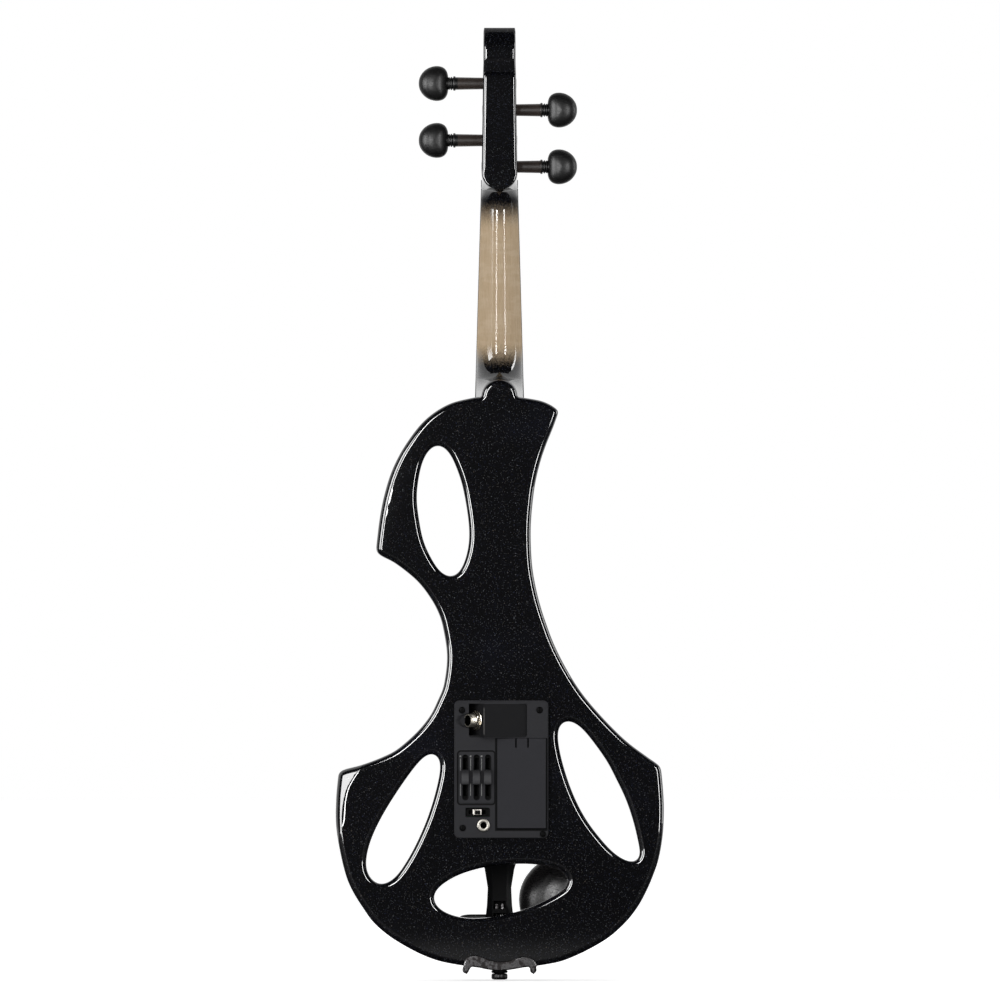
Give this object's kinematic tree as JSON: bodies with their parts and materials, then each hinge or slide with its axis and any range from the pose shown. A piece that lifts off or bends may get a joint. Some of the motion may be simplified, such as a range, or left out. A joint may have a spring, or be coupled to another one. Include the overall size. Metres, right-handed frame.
{
  "type": "electric violin",
  "caption": "Solid-body electric violin with a cut-out black body, maple neck, tuning pegs, fine tuners, chin rest and a control panel with battery bay on its back.",
  "frame": {"origin": "middle of the end button's flat outer face, on the body's middle plane", "axes": "+Z from the end button to the head, -Y towards the strings and bridge, +Y out of the flat back, +X to the treble side"},
  "size_m": [0.2038, 0.0705, 0.5912],
  "materials": {
    "sparkle_black_lacquer": "high-gloss black lacquer with fine flakes",
    "maple_neck": "gloss lacquered maple, fading to black at both ends",
    "ebony": "satin",
    "bridge_maple": "bare, satin",
    "peg_wood": "polished",
    "string_steel": "fine wound steel",
    "black_plastic": "satin",
    "nylon": "smooth",
    "panel_plastic": "fine satin moulding",
    "nickel": "plated",
    "steel": "turned",
    "dark_nickel": "dull, tarnished",
    "cork": "granular cork",
    "circuit_board": "glass-fibre board",
    "battery_shell": "plain printed sleeve"
  },
  "bodies": {
    "instrument": {"body": "sparkle_black_lacquer", "neck": "maple_neck", "fingerboard": "ebony", "nut": "ebony", "saddle": "ebony", "end_button": "ebony", "bridge": "bridge_maple", "bridge_pickup": "nylon", "string_g": "string_steel", "string_d": "string_steel", "string_a": "string_steel", "string_e": "string_steel", "tailpiece": "black_plastic", "tuner_pivot_pin": "steel", "tailgut": "nylon", "tailgut_nut_bass": "nickel", "tailgut_nut_treble": "nickel", "chin_rest": "ebony", "chin_cork_treble": "cork", "chin_cork_bass": "cork", "clamp_stud_bass": "dark_nickel", "clamp_stud_treble": "dark_nickel", "preamp_panel": "panel_plastic", "panel_screw_1": "black_plastic", "panel_screw_2": "black_plastic", "panel_screw_3": "black_plastic", "panel_screw_4": "black_plastic", "aux_jack": "nickel", "output_jack": "nickel", "jack_nut": "nickel", "battery": "battery_shell", "circuit_board": "circuit_board"},
    "peg_g": {"peg_g": "peg_wood", "winding_g": "string_steel"},
    "peg_d": {"peg_d": "peg_wood", "winding_d": "string_steel"},
    "peg_a": {"peg_a": "peg_wood", "winding_a": "string_steel"},
    "peg_e": {"peg_e": "peg_wood", "winding_e": "string_steel"},
    "tuner_stem_g": {"tuner_stem_g": "steel"},
    "tuner_knob_g": {"tuner_knob_g": "nickel"},
    "tuner_lever_g": {"tuner_lever_g": "steel"},
    "tuner_stem_d": {"tuner_stem_d": "steel"},
    "tuner_knob_d": {"tuner_knob_d": "nickel"},
    "tuner_lever_d": {"tuner_lever_d": "steel"},
    "tuner_stem_a": {"tuner_stem_a": "steel"},
    "tuner_knob_a": {"tuner_knob_a": "nickel"},
    "tuner_lever_a": {"tuner_lever_a": "steel"},
    "tuner_stem_e": {"tuner_stem_e": "steel"},
    "tuner_knob_e": {"tuner_knob_e": "nickel"},
    "tuner_lever_e": {"tuner_lever_e": "steel"},
    "slider_volume": {"slider_cap_volume": "black_plastic"},
    "slider_treble": {"slider_cap_treble": "black_plastic"},
    "slider_bass": {"slider_cap_bass": "black_plastic"},
    "output_switch": {"output_switch": "nickel"},
    "battery_cover": {"battery_cover": "panel_plastic"},
    "clamp_barrel_bass": {"clamp_barrel_bass": "dark_nickel"},
    "clamp_barrel_treble": {"clamp_barrel_treble": "dark_nickel"},
    "clamp_bracket": {"clamp_bracket": "dark_nickel"}
  },
  "joints": [
    {"name": "peg_g_turn", "type": "hinge", "parent": "instrument", "child": "peg_g", "pos_m": [0, -0.008, 0.5049], "axis": [1, 0, 0], "continuous": true},
    {"name": "peg_d_turn", "type": "hinge", "parent": "instrument", "child": "peg_d", "pos_m": [0, -0.0046, 0.5401], "axis": [1, 0, 0], "continuous": true},
    {"name": "peg_a_turn", "type": "hinge", "parent": "instrument", "child": "peg_a", "pos_m": [0, -0.0032, 0.5566], "axis": [1, 0, 0], "continuous": true},
    {"name": "peg_e_turn", "type": "hinge", "parent": "instrument", "child": "peg_e", "pos_m": [0, -0.0068, 0.5213], "axis": [1, 0, 0], "continuous": true},
    {"name": "tuner_g_stem_slide", "type": "slide", "parent": "instrument", "child": "tuner_stem_g", "axis": [0, 0.9885, 0.1512], "range_m": [-0.0008, 0.0024]},
    {"name": "tuner_g_knob_turn", "type": "hinge", "parent": "tuner_stem_g", "child": "tuner_knob_g", "pos_m": [-0.0138, -0.04045, 0.09836], "axis": [0, 0.9885, 0.1512], "range_deg": [-482, 1442]},
    {"name": "tuner_g_lever_swing", "type": "hinge", "parent": "instrument", "child": "tuner_lever_g", "pos_m": [-0.0138, -0.03197, 0.11038], "axis": [1, 0, 0], "range_deg": [-4.5, 13.2], "deforming": ["string_g"]},
    {"name": "tuner_d_stem_slide", "type": "slide", "parent": "instrument", "child": "tuner_stem_d", "axis": [0, 0.9885, 0.1512], "range_m": [-0.0008, 0.0024]},
    {"name": "tuner_d_knob_turn", "type": "hinge", "parent": "tuner_stem_d", "child": "tuner_knob_d", "pos_m": [-0.0046, -0.04045, 0.09836], "axis": [0, 0.9885, 0.1512], "range_deg": [-482, 1442]},
    {"name": "tuner_d_lever_swing", "type": "hinge", "parent": "instrument", "child": "tuner_lever_d", "pos_m": [-0.0046, -0.03197, 0.11038], "axis": [1, 0, 0], "range_deg": [-4.5, 13.2], "deforming": ["string_d"]},
    {"name": "tuner_a_stem_slide", "type": "slide", "parent": "instrument", "child": "tuner_stem_a", "axis": [0, 0.9885, 0.1512], "range_m": [-0.0008, 0.0024]},
    {"name": "tuner_a_knob_turn", "type": "hinge", "parent": "tuner_stem_a", "child": "tuner_knob_a", "pos_m": [0.0046, -0.04045, 0.09836], "axis": [0, 0.9885, 0.1512], "range_deg": [-482, 1442]},
    {"name": "tuner_a_lever_swing", "type": "hinge", "parent": "instrument", "child": "tuner_lever_a", "pos_m": [0.0046, -0.03197, 0.11038], "axis": [1, 0, 0], "range_deg": [-4.5, 13.2], "deforming": ["string_a"]},
    {"name": "tuner_e_stem_slide", "type": "slide", "parent": "instrument", "child": "tuner_stem_e", "axis": [0, 0.9885, 0.1512], "range_m": [-0.0008, 0.0024]},
    {"name": "tuner_e_knob_turn", "type": "hinge", "parent": "tuner_stem_e", "child": "tuner_knob_e", "pos_m": [0.0138, -0.04045, 0.09836], "axis": [0, 0.9885, 0.1512], "range_deg": [-482, 1442]},
    {"name": "tuner_e_lever_swing", "type": "hinge", "parent": "instrument", "child": "tuner_lever_e", "pos_m": [0.0138, -0.03197, 0.11038], "axis": [1, 0, 0], "range_deg": [-4.5, 13.2], "deforming": ["string_e"]},
    {"name": "slider_volume_slide", "type": "slide", "parent": "instrument", "child": "slider_volume", "axis": [0, 0, 1], "range_m": [-0.01, 0.01]},
    {"name": "slider_treble_slide", "type": "slide", "parent": "instrument", "child": "slider_treble", "axis": [0, 0, 1], "range_m": [-0.01, 0.01]},
    {"name": "slider_bass_slide", "type": "slide", "parent": "instrument", "child": "slider_bass", "axis": [0, 0, 1], "range_m": [-0.01, 0.01]},
    {"name": "output_switch_slide", "type": "slide", "parent": "instrument", "child": "output_switch", "axis": [1, 0, 0], "range_m": [-0.004, 0.004]},
    {"name": "battery_cover_hinge", "type": "hinge", "parent": "instrument", "child": "battery_cover", "pos_m": [-0.01375, 0.0168, 0.0946], "axis": [-1, 0, 0], "range_deg": [0, 80]},
    {"name": "clamp_barrel_bass_turn", "type": "hinge", "parent": "instrument", "child": "clamp_barrel_bass", "pos_m": [-0.021, 0, 0.006], "axis": [0, -1, 0], "range_deg": [0, 1802]},
    {"name": "clamp_barrel_treble_turn", "type": "hinge", "parent": "instrument", "child": "clamp_barrel_treble", "pos_m": [0.021, 0, 0.006], "axis": [0, -1, 0], "range_deg": [0, 1802]},
    {"name": "clamp_bracket_slide", "type": "slide", "parent": "instrument", "child": "clamp_bracket", "axis": [0, 1, 0], "range_m": [0, 0.004]}
  ],
  "couplings": [
    {"joint": "tuner_g_knob_turn", "follows": "tuner_g_stem_slide", "rad_per_m": 10472},
    {"joint": "tuner_g_lever_swing", "follows": "tuner_g_stem_slide", "rad_per_m": 94.34},
    {"joint": "tuner_d_knob_turn", "follows": "tuner_d_stem_slide", "rad_per_m": 10472},
    {"joint": "tuner_d_lever_swing", "follows": "tuner_d_stem_slide", "rad_per_m": 94.34},
    {"joint": "tuner_a_knob_turn", "follows": "tuner_a_stem_slide", "rad_per_m": 10472},
    {"joint": "tuner_a_lever_swing", "follows": "tuner_a_stem_slide", "rad_per_m": 94.34},
    {"joint": "tuner_e_knob_turn", "follows": "tuner_e_stem_slide", "rad_per_m": 10472},
    {"joint": "tuner_e_lever_swing", "follows": "tuner_e_stem_slide", "rad_per_m": 94.34},
    {"joint": "clamp_barrel_bass_turn", "follows": "clamp_bracket_slide", "rad_per_m": 7854},
    {"joint": "clamp_barrel_treble_turn", "follows": "clamp_bracket_slide", "rad_per_m": 7854}
  ]
}
